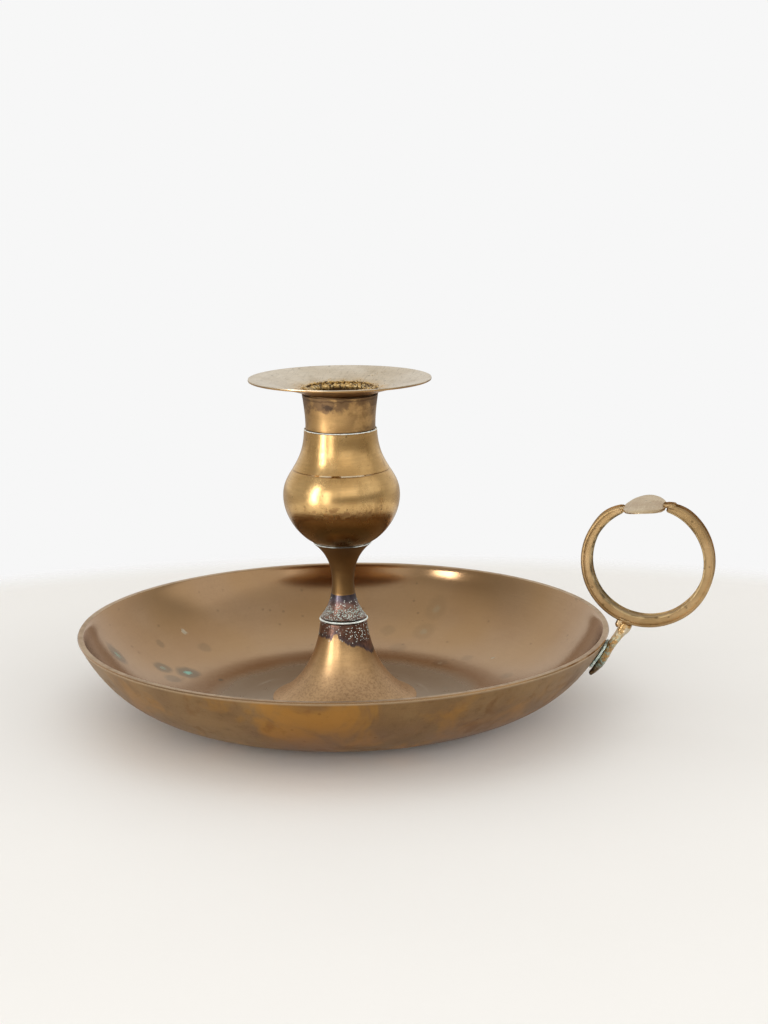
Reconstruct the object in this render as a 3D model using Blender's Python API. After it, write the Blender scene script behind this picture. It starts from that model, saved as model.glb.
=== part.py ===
"""Brass chamberstick: a spun dish, a turned stem with candle cup, a nozzle with drip pan, a ring handle.

Metres. The origin is on the column's axis in the plane the dish rests on, +Z up, handle towards +X.
"""
import math

import bmesh
import bpy
from mathutils import Vector

# Dish
DISH_R = 0.0900
DISH_H = 0.0280
DISH_WALL = 0.0017
DISH_FLAT_R = 0.0340
DISH_WALL_ANGLE = math.radians(63)
LIP_W = 0.0020
DISH_PULL_TOP = 0.0210
DISH_PULL_BOTTOM = 0.0330
BOLT_HOLE_R = 0.0024
COUNTERSINK_R = 0.0050

# Column
GAP = 0.0003
BORE_R = 0.0023
FOOT_R = 0.0246
FOOT_TOP_R = 0.00795
FOOT_TOP_Z = 0.0296
FOOT_EDGE_H = 0.0008
FOOT_WALL = 0.0019
FOOT_CEILING_Z = 0.0240
FOOT_PULLS = ((0.0172, 0.0058), (0.0093, 0.0148))
SOLDER_T = 0.0005
STEM_BASE_R = 0.00775
STEM_WAIST_R = 0.00375
STEM_WAIST_Z = 0.0430
STEM_TOP_R = 0.0097
STEM_TOP_Z = 0.0566
STEM_LOWER_PULLS = ((0.0049, 0.0340), (STEM_WAIST_R, 0.0385))
STEM_UPPER_PULLS = ((STEM_WAIST_R, 0.0475), (0.0048, 0.0524))
STEM_BORE_TOP = 0.0386
TENON_R = 0.0032
TENON_TOP = 0.0615
BOLT_R = 0.0020
BOLT_HEAD_R = 0.0045
BOLT_TOP = 0.0382

# Candle cup
CUP_BASE_R = 0.0100
CUP_R = 0.01965
CUP_WIDE_Z = 0.0730
CUP_NECK_R = 0.0134
CUP_NECK_Z = 0.0880
CUP_MOUTH_R = 0.01225
CUP_MOUTH_Z = 0.0953
BELLY_PULLS = ((0.0150, 0.0598), (CUP_R, 0.0662))
SHOULDER_PULLS = ((CUP_R, 0.0794), (0.0156, 0.0814))
THROAT_PULLS = ((0.0127, 0.0901), (0.0123, 0.0930))
CUP_BORE_R = 0.0114
CUP_BORE_FLOOR = 0.0780
SCRIBED_Z = 0.0820
SCRIBED_DEPTH = 0.00025

# Nozzle
CANDLE_R = 0.0105
SPIGOT_R = 0.0111
SPIGOT_BOTTOM = 0.0830
COLLAR_R = 0.0117
COLLAR_TOP_R = 0.0127
COLLAR_TOP_Z = 0.1071
COLLAR_PULLS = ((0.01165, 0.0995), (0.0121, 0.1030))
NECK_R = 0.0116
TURNOVER_R = 0.0123
TURNOVER_Z = 0.1086
MOUTH_R = 0.0112
MOUTH_Z = 0.1097
PAN_R = 0.0306
PAN_RIM_Z = 0.1127
PAN_T = 0.0008
PAN_PULLS = ((0.0160, 0.1099), (0.0240, 0.1118))

# Handle
RING_X = 0.1029
RING_Z = 0.0541
RING_OUT = 0.0218
RING_SHOULDER_OUT = 0.0204
RING_TAPER = math.radians(22)
RING_IN = 0.01814
RING_HALF_W = 0.0030
RING_OUT_SOFT = 0.0014
RING_IN_SOFT = 0.0007
RING_START = math.radians(18.3)
RING_END = math.radians(334.2)
REST_IN = 0.0184
REST_OUT = 0.0197
REST_HALF_W = 0.0144
REST_MID = math.radians(-3.75)
REST_HALF_ANGLE = math.radians(21.0)
REST_TIP_HALF_W = 0.0025
TONGUE_WALL_GAP = 0.0011
TONGUE_TIP_Z = 0.0164
TONGUE_TIP_LIFT = 0.0006
TONGUE_LEAVES_WALL_Z = 0.0255
TONGUE_TIP_T = 0.0009
TONGUE_T = 0.0021
TONGUE_TIP_HALF_W = 0.0009
TONGUE_HALF_W = 0.0031
TONGUE_PULLS = ((0.0924, 0.0271), (0.0944, 0.0299))
TONGUE_TOP = (0.0960, 0.0321)
TONGUE_TOP_T = (0.0021, 0.0022, 0.0024, 0.0029, 0.0038)
BEAD_T = 0.0005
BEAD_TOP_Z = 0.0262
BEAD_BOTTOM_Z = 0.0180

# Facets round the turned pieces
DISH_SIDES = 72
PAN_SIDES = 56
COLUMN_SIDES = 40
STEM_SIDES = 32
BOLT_SIDES = 20


def clear_scene():
    for ob in list(bpy.data.objects):
        bpy.data.objects.remove(ob, do_unlink=True)


def metal(name, colour, roughness, metallic=1.0):
    mat = bpy.data.materials.new(name)
    mat.use_nodes = True
    bsdf = mat.node_tree.nodes["Principled BSDF"]
    bsdf.inputs["Base Color"].default_value = (*colour, 1.0)
    bsdf.inputs["Roughness"].default_value = roughness
    bsdf.inputs["Metallic"].default_value = metallic
    return mat


def finish(name, bm, mat):
    """Turn a closed bmesh into a named, smooth-shaded object."""
    bmesh.ops.recalc_face_normals(bm, faces=bm.faces)
    mesh = bpy.data.meshes.new(name)
    bm.to_mesh(mesh)
    bm.free()
    ob = bpy.data.objects.new(name, mesh)
    bpy.context.scene.collection.objects.link(ob)
    mesh.materials.append(mat)
    mesh.shade_smooth()
    mesh.set_sharp_from_angle(angle=math.radians(38))
    return ob


def curve(p0, p1, p2, p3, steps):
    """Points of a cubic curve, both ends included."""
    pts = []
    for i in range(steps + 1):
        t = i / steps
        w = ((1 - t) ** 3, 3 * t * (1 - t) ** 2, 3 * t * t * (1 - t), t ** 3)
        pts.append(tuple(sum(k * p[a] for k, p in zip(w, (p0, p1, p2, p3))) for a in (0, 1)))
    return pts


def offset(points, distance):
    """The same open line moved sideways, to the left of its direction for a positive distance."""
    moved = []
    last = len(points) - 1
    for i, (x, y) in enumerate(points):
        a = points[max(i - 1, 0)]
        b = points[min(i + 1, last)]
        run = Vector((b[0] - a[0], b[1] - a[1])).normalized()
        moved.append((x - run.y * distance, y + run.x * distance))
    return moved


def rounded(points, steps=2):
    """Replace each (x, y, radius) corner of a closed line with a small arc."""
    line = []
    count = len(points)
    for i, point in enumerate(points):
        radius = point[2] if len(point) > 2 else 0
        here = Vector(point[:2])
        if not radius:
            line.append(tuple(here))
            continue
        before = (Vector(points[i - 1][:2]) - here).normalized()
        after = (Vector(points[(i + 1) % count][:2]) - here).normalized()
        for k in range(steps + 1):
            t = k / steps
            bend = here + before * radius * (1 - t) ** 2 + after * radius * t ** 2
            line.append(tuple(bend))
    return line


def lathe(name, profile, sides, mat):
    """A solid of revolution about Z from a closed (radius, height) line; radius 0 becomes a pole."""
    bm = bmesh.new()
    rings = []
    for radius, z in profile:
        if radius < 1e-7:
            rings.append([bm.verts.new((0, 0, z))])
            continue
        turn = [2 * math.pi * k / sides for k in range(sides)]
        rings.append([bm.verts.new((radius * math.cos(a), radius * math.sin(a), z)) for a in turn])
    for lower, upper in zip(rings, rings[1:] + rings[:1]):
        if len(lower) == 1 and len(upper) == 1:
            continue
        for k in range(sides):
            corners = [lower[k % len(lower)], lower[(k + 1) % sides % len(lower)],
                       upper[(k + 1) % sides % len(upper)], upper[k % len(upper)]]
            unique = list(dict.fromkeys(corners))
            bm.faces.new(unique)
    return finish(name, bm, mat)


def sweep(name, sections, mat):
    """A closed solid through a row of equal point loops, capped at both ends."""
    bm = bmesh.new()
    loops = [[bm.verts.new(p) for p in section] for section in sections]
    for one, two in zip(loops, loops[1:]):
        for k in range(len(one)):
            n = (k + 1) % len(one)
            bm.faces.new((one[k], one[n], two[n], two[k]))
    bm.faces.new(loops[0][::-1])
    bm.faces.new(loops[-1])
    return finish(name, bm, mat)


def dish_outside(steps):
    """Outer wall line from the edge of the flat floor up to the lip."""
    foot = (DISH_FLAT_R, 0.0)
    lip = (DISH_R, DISH_H - 0.0004)
    pull = (foot[0] + DISH_PULL_BOTTOM, 0.0)
    lead = (lip[0] - DISH_PULL_TOP * math.cos(DISH_WALL_ANGLE),
            lip[1] - DISH_PULL_TOP * math.sin(DISH_WALL_ANGLE))
    return curve(foot, pull, lead, lip, steps)


def wall_at(z):
    """Outer radius of the dish's wall at a height."""
    line = dish_outside(40)
    for (r0, z0), (r1, z1) in zip(line, line[1:]):
        if z0 <= z <= z1:
            return r0 + (r1 - r0) * (z - z0) / (z1 - z0)
    return DISH_R


def off_wall(z, distance):
    """An (x, z) point at a distance straight out of the wall from its point at a height."""
    step = 0.0008
    run = Vector((wall_at(z + step) - wall_at(z - step), 2 * step)).normalized()
    return (wall_at(z) + distance * run.y, z - distance * run.x)


def build_dish(mat):
    outer = dish_outside(10)
    inner = [p for p in offset(outer, DISH_WALL) if p[1] < DISH_H - 0.0006]
    profile = [(COUNTERSINK_R, 0.0)]
    profile += outer
    profile += [(DISH_R - 0.0003, DISH_H), (DISH_R - LIP_W, DISH_H, 0.0003)]
    profile += inner[::-1]
    profile += [(BOLT_HOLE_R, DISH_WALL)]
    return lathe("dish", rounded(profile), DISH_SIDES, mat)


def build_foot(mat):
    base = DISH_WALL + GAP
    outer = curve((FOOT_R, base + FOOT_EDGE_H), *FOOT_PULLS, (FOOT_TOP_R, FOOT_TOP_Z - 0.0003), 9)
    hollow = [p for p in offset(outer, FOOT_WALL) if base + 0.0004 < p[1] < FOOT_CEILING_Z - 0.001]
    profile = [(FOOT_R, base, 0.0002)]
    profile += outer
    profile += [(FOOT_TOP_R - 0.0003, FOOT_TOP_Z), (BORE_R, FOOT_TOP_Z), (BORE_R, FOOT_CEILING_Z)]
    profile += [(hollow[-1][0] - 0.0004, FOOT_CEILING_Z)]
    profile += hollow[::-1]
    profile += [(FOOT_R - FOOT_WALL * 1.6, base)]
    return lathe("foot", rounded(profile), COLUMN_SIDES, mat)


def build_stem_solder(mat):
    low = FOOT_TOP_Z + GAP
    high = low + SOLDER_T
    edge = FOOT_TOP_R
    profile = [(BORE_R + 0.001, low), (edge - 0.0002, low), (edge, low + SOLDER_T / 2),
               (edge - 0.0002, high), (BORE_R + 0.001, high)]
    return lathe("stem_solder", profile, STEM_SIDES, mat)


def build_stem(mat):
    base = FOOT_TOP_Z + 2 * GAP + SOLDER_T
    waist = (STEM_WAIST_R, STEM_WAIST_Z)
    lower = curve((STEM_BASE_R, base + 0.0002), *STEM_LOWER_PULLS, waist, 7)
    upper = curve(waist, *STEM_UPPER_PULLS, (STEM_TOP_R, STEM_TOP_Z - 0.0002), 7)
    profile = [(BORE_R, base), (STEM_BASE_R - 0.0003, base)]
    profile += lower + upper[1:]
    profile += [(STEM_TOP_R - 0.0003, STEM_TOP_Z), (TENON_R, STEM_TOP_Z),
                (TENON_R, TENON_TOP, 0.0005), (0.0, TENON_TOP), (0.0, STEM_BORE_TOP + 0.0008),
                (BORE_R, STEM_BORE_TOP)]
    return lathe("stem", rounded(profile), STEM_SIDES, mat)


def build_bolt(mat):
    profile = [(0.0, 0.0), (BOLT_HEAD_R, 0.0), (BOLT_HEAD_R, 0.0002), (BOLT_R, 0.0019),
               (BOLT_R, BOLT_TOP - 0.0006), (BOLT_R - 0.0006, BOLT_TOP), (0.0, BOLT_TOP)]
    return lathe("centre_bolt", profile, BOLT_SIDES, mat)


def scribe(line, z, depth):
    """Cut one fine V-shaped ring into an upward (radius, height) line."""
    cut = []
    for (r0, z0), (r1, z1) in zip(line, line[1:]):
        cut.append((r0, z0))
        if z0 < z <= z1:
            r = r0 + (r1 - r0) * (z - z0) / (z1 - z0)
            slope = (r1 - r0) / (z1 - z0)
            cut += [(r - slope * depth, z - depth), (r - depth, z), (r + slope * depth, z + depth)]
    cut.append(line[-1])
    return cut


def build_cup(mat):
    base = STEM_TOP_Z + GAP
    wide = (CUP_R, CUP_WIDE_Z)
    neck = (CUP_NECK_R, CUP_NECK_Z)
    belly = curve((CUP_BASE_R, base + 0.0002), *BELLY_PULLS, wide, 8)
    shoulder = curve(wide, *SHOULDER_PULLS, neck, 9)
    throat = curve(neck, *THROAT_PULLS, (CUP_MOUTH_R, CUP_MOUTH_Z - 0.0002), 4)
    profile = [(TENON_R + GAP, base), (CUP_BASE_R - 0.0003, base)]
    profile += scribe(belly + shoulder[1:] + throat[1:], SCRIBED_Z, SCRIBED_DEPTH)
    profile += [(CUP_MOUTH_R - 0.0002, CUP_MOUTH_Z), (CUP_BORE_R, CUP_MOUTH_Z),
                (CUP_BORE_R, CUP_BORE_FLOOR), (0.0, CUP_BORE_FLOOR - 0.0006),
                (0.0, TENON_TOP + GAP), (TENON_R + GAP, TENON_TOP + GAP)]
    return lathe("candle_cup", profile, COLUMN_SIDES, mat)


def build_collar(mat):
    seat = CUP_MOUTH_Z + GAP
    side = curve((COLLAR_R, seat + 0.0002), *COLLAR_PULLS, (COLLAR_TOP_R, COLLAR_TOP_Z), 5)
    profile = [(CANDLE_R, SPIGOT_BOTTOM), (SPIGOT_R, SPIGOT_BOTTOM), (SPIGOT_R, seat),
               (COLLAR_R - 0.0002, seat)]
    profile += side
    profile += [(NECK_R, COLLAR_TOP_Z), (NECK_R, TURNOVER_Z), (TURNOVER_R, TURNOVER_Z, 0.0002),
                (TURNOVER_R, MOUTH_Z - 0.0003, 0.0005), (MOUTH_R, MOUTH_Z, 0.0003),
                (CANDLE_R, MOUTH_Z - 0.0020)]
    return lathe("nozzle_collar", rounded(profile), COLUMN_SIDES, mat)


def build_pan(mat):
    hole = NECK_R + GAP
    top = curve((hole, COLLAR_TOP_Z + GAP + PAN_T), *PAN_PULLS, (PAN_R, PAN_RIM_Z), 6)
    under = [(r, z - PAN_T) for r, z in top]
    profile = under[:-1] + [(*under[-1], 0.0003), (*top[-1], 0.0003)] + top[-2::-1]
    return lathe("drip_pan", rounded(profile), PAN_SIDES, mat)


def band_section(inner, outer, half_width, inner_soft, outer_soft):
    """Soft-cornered band section as a closed (radius, y) line."""
    corners = [(inner, -half_width, inner_soft), (outer, -half_width, outer_soft),
               (outer, half_width, outer_soft), (inner, half_width, inner_soft)]
    return rounded(corners, 3)


def ring_point(radius, y, turn):
    """A point on the handle's ring; the turn runs from straight up towards +X."""
    return (RING_X + radius * math.sin(turn), y, RING_Z + radius * math.cos(turn))


def build_ring(mat):
    """The band thins towards the two shoulders that hold the thumb rest."""
    ease = 0.0004
    end_turn = ease / RING_IN
    steps = 36
    turns = [RING_START + end_turn + (RING_END - RING_START - 2 * end_turn) * k / steps
             for k in range(steps + 1)]
    sections = []
    for turn, shrink in [(RING_START, ease)] + [(t, 0.0) for t in turns] + [(RING_END, ease)]:
        near = min(turn - RING_START, RING_END - turn) / RING_TAPER
        swell = math.sin(math.pi / 2 * min(1.0, near))
        outer = RING_SHOULDER_OUT + (RING_OUT - RING_SHOULDER_OUT) * swell
        soft = RING_OUT_SOFT - 0.0007 * (1 - swell)
        section = band_section(RING_IN + shrink, outer - shrink, RING_HALF_W - shrink, RING_IN_SOFT, soft)
        sections.append([ring_point(r, y, turn) for r, y in section])
    return sweep("handle_ring", sections, mat)


def build_thumb_rest(mat):
    """An oval cut from a thin arched plate, its two ends clipped short at the ring's shoulders."""
    steps = 14
    clip = math.asin(REST_TIP_HALF_W / REST_HALF_W)
    soft = 0.0003
    sections = []
    for k in range(steps + 1):
        a = -math.pi / 2 + clip + (math.pi - 2 * clip) * k / steps
        turn = REST_MID + REST_HALF_ANGLE * math.sin(a)
        half = REST_HALF_W * math.cos(a)
        loop = [(REST_IN, -half + soft), (REST_IN + soft, -half), (REST_OUT - soft, -half),
                (REST_OUT, -half + soft), (REST_OUT, half - soft), (REST_OUT - soft, half),
                (REST_IN + soft, half), (REST_IN, half - soft)]
        sections.append([ring_point(r, y, turn) for r, y in loop])
    return sweep("thumb_rest", sections, mat)


def strip_sections(line, thickness, half_widths, soft):
    """A flat strip along an (x, z) centre line, with its own thickness and half width at each point."""
    sections = []
    for (x, z), (ux, uz), t, w in zip(line, offset(line, 1.0), thickness, half_widths):
        nx = ux - x
        nz = uz - z
        h = t / 2
        s = min(soft, h * 0.7, w * 0.7)
        loop = [(-h, -w + s), (-h + s, -w), (h - s, -w), (h, -w + s),
                (h, w - s), (h - s, w), (-h + s, w), (-h, w - s)]
        sections.append([(x + nx * a, y, z + nz * a) for a, y in loop])
    return sections


def seat_on_ring(section):
    """Move a section's points radially so that they follow the ring's underside."""
    return [ring_point(RING_OUT + GAP, y, math.atan2(x - RING_X, z - RING_Z)) for x, y, z in section]


def build_bracket(mat):
    """The tongue: a strip from the ring's underside down along the dish's wall, tapering to a tip."""
    steps = 9
    on_wall = []
    thickness = []
    for k in range(steps):
        up = k / (steps - 1)
        t = TONGUE_TIP_T + (TONGUE_T - TONGUE_TIP_T) * math.sin(math.pi / 2 * min(1.0, k / 5))
        away = TONGUE_WALL_GAP + t / 2 + TONGUE_TIP_LIFT * (1 - up)
        on_wall.append(off_wall(TONGUE_TIP_Z + (TONGUE_LEAVES_WALL_Z - TONGUE_TIP_Z) * up, away))
        thickness.append(t)
    line = on_wall + curve(on_wall[-1], *TONGUE_PULLS, TONGUE_TOP, len(TONGUE_TOP_T))[1:]
    half = [TONGUE_TIP_HALF_W + (TONGUE_HALF_W - TONGUE_TIP_HALF_W) * math.sin(math.pi / 2 * min(1.0, k / 6))
            for k in range(len(line))]
    sections = strip_sections(line, thickness + list(TONGUE_TOP_T), half, 0.0005)
    sections.append(seat_on_ring(sections[-1]))
    return sweep("handle_bracket", sections, mat)


def build_bead(mat):
    """Solder between the wall and the tongue, standing a little proud at the tongue's edges."""
    steps = 6
    line = [off_wall(BEAD_BOTTOM_Z + (BEAD_TOP_Z - BEAD_BOTTOM_Z) * k / steps, GAP + BEAD_T / 2)
            for k in range(steps + 1)]
    half = [0.0020 + 0.0018 * math.sin(math.pi / 2 * min(1.0, k / 4)) for k in range(steps + 1)]
    return sweep("handle_solder", strip_sections(line, [BEAD_T] * (steps + 1), half, 0.0002), mat)


def build():
    clear_scene()
    dish_brass = metal("dish_brass", (0.47, 0.33, 0.19), 0.38)
    turned_brass = metal("turned_brass", (0.52, 0.37, 0.17), 0.27)
    cup_brass = metal("cup_brass", (0.55, 0.39, 0.18), 0.24)
    pan_brass = metal("pan_brass", (0.52, 0.43, 0.29), 0.36)
    ring_brass = metal("ring_brass", (0.56, 0.39, 0.19), 0.36)
    rest_brass = metal("rest_brass", (0.58, 0.47, 0.33), 0.42)
    solder = metal("soft_solder", (0.62, 0.64, 0.60), 0.50)
    bolt = metal("bolt_steel", (0.36, 0.34, 0.31), 0.45)
    build_dish(dish_brass)
    build_foot(turned_brass)
    build_stem_solder(solder)
    build_stem(turned_brass)
    build_bolt(bolt)
    build_cup(cup_brass)
    build_collar(cup_brass)
    build_pan(pan_brass)
    build_ring(ring_brass)
    build_thumb_rest(rest_brass)
    build_bracket(ring_brass)
    build_bead(solder)


build()
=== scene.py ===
"""Looks of the brass chamberstick: fine turned surfaces, patina, solder, verdigris, wax, and a pale stage."""
import math
import random

import bmesh
import bpy
from mathutils import Matrix, Vector, noise


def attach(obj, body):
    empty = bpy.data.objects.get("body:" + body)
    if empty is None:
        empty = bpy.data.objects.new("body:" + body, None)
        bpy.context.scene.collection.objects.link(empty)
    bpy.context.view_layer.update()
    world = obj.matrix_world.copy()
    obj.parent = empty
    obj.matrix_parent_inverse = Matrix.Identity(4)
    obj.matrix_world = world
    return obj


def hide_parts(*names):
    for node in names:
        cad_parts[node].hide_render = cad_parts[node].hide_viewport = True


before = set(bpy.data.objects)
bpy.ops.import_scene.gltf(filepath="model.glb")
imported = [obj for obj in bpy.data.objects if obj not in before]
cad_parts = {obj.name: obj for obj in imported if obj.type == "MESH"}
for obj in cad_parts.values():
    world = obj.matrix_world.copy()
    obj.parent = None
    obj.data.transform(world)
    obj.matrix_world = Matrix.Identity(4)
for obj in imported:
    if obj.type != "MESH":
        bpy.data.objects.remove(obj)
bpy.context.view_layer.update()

STAND = "stand"
NOZZLE = "nozzle"

# Handle, as in the CAD
RING_CENTRE = (0.1029, 0.0541)
RING_OUT = 0.0218
RING_SHOULDER_OUT = 0.0204
RING_IN = 0.01814
RING_HALF_W = 0.0030
RING_START = math.radians(18.3)
RING_END = math.radians(334.2)
RING_TAPER = math.radians(22)
REST_IN = 0.0184
REST_OUT = 0.0197
REST_HALF_W = 0.0144
REST_MID = math.radians(-3.75)
REST_HALF_ANGLE = math.radians(21.0)
REST_TIP_HALF_W = 0.0025

# Heights of the seams and marks on the column
SEAM_Z = 0.0301
STAIN_TOP_Z = 0.0389
STAIN_BOTTOM_Z = 0.0188
CUP_SEAM_Z = 0.0568
SCRIBED_Z = 0.0820
MOUTH_SEAM_Z = 0.0955
PAN_SEAT_Z = 0.1071
MOUTH_Z = 0.1097

# Radii of the seams, and where the dish's lip begins
SOLDER_R = 0.00820
CUP_SEAM_R = 0.00992
MOUTH_SEAM_R = 0.01218
LIP_INNER_R = 0.0877
LIP_LOW_Z = 0.0270

# Ends of the short trail of wax crumbs on the drip pan
TRAIL_START = (0.0057, 0.0178, 0.0)
TRAIL_END = (0.0109, 0.0238, 0.0)

# Level directions from the object to the camera and to the camera's left. The lights, the world,
# the floor, the places of some stains and some painted light and shade on the sides facing the
# camera are all laid out from them.
TO_CAMERA = Vector((0.2497, -0.9683, 0.0))
TO_LEFT = Vector((-0.9741, -0.2259, 0.0))

# Camera and stage
BRIGHT_WALL_TURN = math.radians(30)
BRIGHT_WALL = (TO_CAMERA * math.cos(BRIGHT_WALL_TURN) - TO_LEFT * math.sin(BRIGHT_WALL_TURN)).normalized()
CAMERA_AT = (0.16181, -0.627637, 0.203536)
CAMERA_TURN = (78.0759, 0.6951, 13.0560)
CAMERA_LENS = 69.08
FLOOR_R = 0.42
FLOOR_SHIFT = 0.19
FLOOR_FADE = 0.040
FLOOR_DROP = 0.0001
BACKDROP_WHITE = 0.93
WINDOW_AWAY = 1.6
FILL_AWAY = 1.3
FILL_UP = Vector((0, 0, 0.34))

# Fineness of the surfaces
FINE_STEP = 0.0006
DISH_STEP = 0.0014
CORNER = math.radians(24)


# ---------------------------------------------------------------- turned shapes

def outline(node):
    """The (radius, height) line of a turned CAD node, read where a plane through its axis cuts it."""
    bm = bmesh.new()
    bm.from_mesh(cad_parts[node].data)
    bmesh.ops.remove_doubles(bm, verts=bm.verts, dist=1e-6)
    widest = max(v.co.xy.length for v in bm.verts)
    rim = {round(math.atan2(v.co.y, v.co.x) / math.tau * 720) % 720
           for v in bm.verts if v.co.xy.length > widest - 1e-5}
    half = math.pi / len(rim)
    across = Vector((math.cos(half), math.sin(half), 0))
    cut = bmesh.ops.bisect_plane(bm, geom=bm.verts[:] + bm.edges[:] + bm.faces[:], dist=1e-7,
                                 plane_co=(0, 0, 0), plane_no=(-across.y, across.x, 0))
    ahead = {}
    for edge in cut["geom_cut"]:
        if not isinstance(edge, bmesh.types.BMEdge):
            continue
        a, b = edge.verts
        if min(a.co.dot(across), b.co.dot(across)) > -1e-6:
            ahead.setdefault(a, []).append(b)
            ahead.setdefault(b, []).append(a)
    ends = [v for v, near in ahead.items() if len(near) == 1]
    closed = not ends
    at = ends[0] if ends else next(iter(ahead))
    walked = []
    while at is not None:
        walked.append(at)
        at = next((v for v in ahead[at] if v not in walked), None)
    line = [(max(0.0, v.co.dot(across)) / math.cos(half), v.co.z) for v in walked]
    bm.free()
    return straightened(line, closed), closed


def straightened(line, closed):
    """The line without the points that lie on a straight stretch."""
    kept = []
    count = len(line)
    for i, point in enumerate(line):
        if not closed and i in (0, count - 1):
            kept.append(point)
            continue
        a = Vector(line[i - 1])
        b = Vector(line[(i + 1) % count])
        run = b - a
        step = Vector(point) - a
        if run.length < 1e-9 or abs(run.x * step.y - run.y * step.x) / run.length > 2e-6:
            kept.append(point)
    return kept


def heading(before, here, after):
    """Direction of the smooth line at a point, or None at a sharp corner."""
    one = here - before
    two = after - here
    if one.angle(two, 0.0) > CORNER:
        return None
    if one.length > 3 * two.length:
        return one.normalized()
    if two.length > 3 * one.length:
        return two.normalized()
    return (one.normalized() * two.length + two.normalized() * one.length).normalized()


def smoothed(line, closed, step):
    """The same line with a curve through its gentle bends; its sharp corners stay."""
    points = [Vector(p) for p in line]
    count = len(points)
    ways = []
    for i in range(count):
        if not closed and i in (0, count - 1):
            ways.append(None)
        else:
            ways.append(heading(points[i - 1], points[i], points[(i + 1) % count]))
    fine = []
    for i in range(count if closed else count - 1):
        a = points[i]
        b = points[(i + 1) % count]
        run = b - a
        out = (ways[i] or run.normalized()) * run.length
        into = (ways[(i + 1) % count] or run.normalized()) * run.length
        parts = max(1, math.ceil(run.length / step))
        for k in range(parts):
            t = k / parts
            fine.append(a * (2 * t**3 - 3 * t**2 + 1) + out * (t**3 - 2 * t**2 + t)
                        + b * (3 * t**2 - 2 * t**3) + into * (t**3 - t**2))
    if not closed:
        fine.append(points[-1])
    return [(max(0.0, p.x), p.y) for p in fine]


def wave(angle, height, turns, seed):
    """Slow unevenness round a turned piece, -1 to 1."""
    return noise.noise(Vector((math.cos(angle) * turns, math.sin(angle) * turns, height * 40 + seed)))


def turned(name, line, closed, sides, uneven=0.0, seed=0.0):
    """Mesh object of a line turned about Z, made slightly uneven by shrinking only."""
    bm = bmesh.new()
    rings = []
    for radius, z in line:
        if radius < 1e-7:
            rings.append([bm.verts.new((0, 0, z))])
            continue
        ring = []
        for k in range(sides):
            a = math.tau * k / sides
            dent = uneven * 0.5 * (wave(a, z, 0.9, seed) + 0.4 * wave(a, z, 2.6, seed + 9) - 1)
            grown = radius + dent * min(1.0, radius / 0.03)
            ring.append(bm.verts.new((grown * math.cos(a), grown * math.sin(a), z)))
        rings.append(ring)
    pairs = list(zip(rings, rings[1:])) + ([(rings[-1], rings[0])] if closed else [])
    for lower, upper in pairs:
        if len(lower) == 1 and len(upper) == 1:
            continue
        for k in range(sides):
            n = (k + 1) % sides
            corners = [lower[k % len(lower)], lower[n % len(lower)],
                       upper[n % len(upper)], upper[k % len(upper)]]
            bm.faces.new(list(dict.fromkeys(corners)))
    return solid(name, bm)


def solid(name, bm, sharp=32):
    """Smooth-shaded object from a bmesh, its faces pointing out."""
    bmesh.ops.recalc_face_normals(bm, faces=bm.faces)
    mesh = bpy.data.meshes.new(name)
    bm.to_mesh(mesh)
    bm.free()
    ob = bpy.data.objects.new(name, mesh)
    bpy.context.scene.collection.objects.link(ob)
    mesh.shade_smooth()
    mesh.set_sharp_from_angle(angle=math.radians(sharp))
    return ob


def keep(ob, body, slot, *nodes):
    """Tie a piece to its body and hide the CAD nodes that it stands for; slot is not used."""
    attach(ob, body)
    if nodes:
        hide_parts(*nodes)
    return ob


def paint(ob, *materials, choose=None):
    """Give the object its materials; choose picks one for each face."""
    for mat in materials:
        ob.data.materials.append(mat)
    if choose:
        for face in ob.data.polygons:
            face.material_index = choose(face.center, face.normal)
    return ob


def from_node(node, sides, step=FINE_STEP, uneven=0.0, seed=0.0):
    line, closed = outline(node)
    return turned(node + "_fine", smoothed(line, closed, step), closed, sides, uneven, seed)


# ---------------------------------------------------------------- swept shapes

def skin(bm, one, two):
    """Faces between two equal loops of points."""
    for k in range(len(one)):
        n = (k + 1) % len(one)
        bm.faces.new((one[k], one[n], two[n], two[k]))


def swept(name, sections):
    """A closed solid through a row of equal point loops."""
    bm = bmesh.new()
    loops = [[bm.verts.new(p) for p in section] for section in sections]
    for one, two in zip(loops, loops[1:]):
        skin(bm, one, two)
    bm.faces.new(loops[0][::-1])
    bm.faces.new(loops[-1])
    return solid(name, bm, 40)


def soft_box(half_across, half_along, soft_low, soft_high, steps=5):
    """Loop of (across, along) points: a rectangle with rounded corners."""
    loop = []
    for across, along, soft in ((-1, -1, soft_low), (1, -1, soft_high), (1, 1, soft_high), (-1, 1, soft_low)):
        for k in range(steps + 1):
            t = math.pi / 2 * k / steps
            first, second = (1 - math.sin(t), 1 - math.cos(t))
            if across * along < 0:
                first, second = second, first
            loop.append((across * (half_across - soft * first), along * (half_along - soft * second)))
    return loop


def on_ring(radius, y, turn):
    """A point of the handle; the turn runs from straight up towards +X."""
    return Vector((RING_CENTRE[0] + radius * math.sin(turn), y, RING_CENTRE[1] + radius * math.cos(turn)))


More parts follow.
